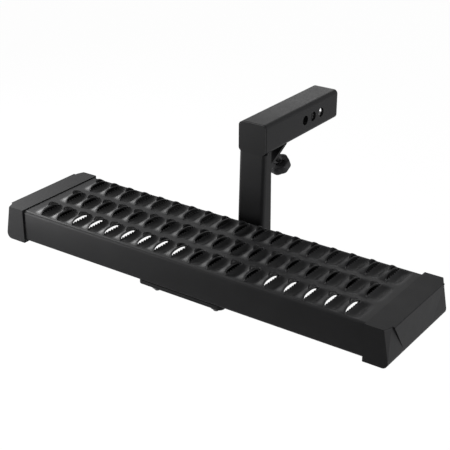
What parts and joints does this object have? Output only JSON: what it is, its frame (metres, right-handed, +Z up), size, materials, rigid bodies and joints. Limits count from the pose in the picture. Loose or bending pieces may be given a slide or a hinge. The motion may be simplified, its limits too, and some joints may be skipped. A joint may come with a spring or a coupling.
{
  "type": "hitch receiver step",
  "caption": "Black hitch step: a serrated tread plank with moulded end caps on a drop bracket under a square receiver shank with pin bores and a clamp knob.",
  "frame": {"origin": "centre of the middle pin bore, on the axis of the receiver shank", "axes": "+X along the plank and the pin bores, +Y along the shank towards the vehicle, +Z up"},
  "size_m": [0.72, 0.431, 0.2529],
  "materials": {
    "powder_coat": "fine textured satin powder coat",
    "cap_plastic": "fine grained moulded plastic",
    "knob_plastic": "satin moulded plastic",
    "dark_steel": "black oxide",
    "zinc_steel": "zinc plated"
  },
  "bodies": {
    "step": {"tread_plank": "powder_coat", "end_cap_right": "cap_plastic", "end_cap_left": "cap_plastic", "cap_screws": "dark_steel", "mounting_plate": "powder_coat", "plate_rib_right": "powder_coat", "plate_rib_left": "powder_coat", "rib_welds": "powder_coat", "plank_bolts": "dark_steel", "plank_washers": "dark_steel", "plank_nuts": "dark_steel", "drop_channel": "powder_coat", "foot_weld": "powder_coat", "receiver_shank": "powder_coat", "shank_end_plate": "powder_coat", "end_plate_weld": "powder_coat", "elbow_weld": "powder_coat", "corner_gusset": "powder_coat", "gusset_weld": "powder_coat", "gusset_nut": "powder_coat"},
    "washer": {"knob_washer": "zinc_steel"},
    "knob": {"knob_head": "knob_plastic", "knob_stud": "zinc_steel"}
  },
  "joints": [
    {"name": "knob_travel", "type": "slide", "parent": "step", "child": "washer", "axis": [0, 0.4896, -0.8719], "range_m": [0, 0.0118]},
    {"name": "knob_turn", "type": "hinge", "parent": "washer", "child": "knob", "pos_m": [0, -0.08648, -0.03124], "axis": [0, 0.4896, -0.8719], "range_deg": [0, 3420]}
  ],
  "couplings": [
    {"joint": "knob_turn", "follows": "knob_travel", "rad_per_m": 5026.5}
  ]
}
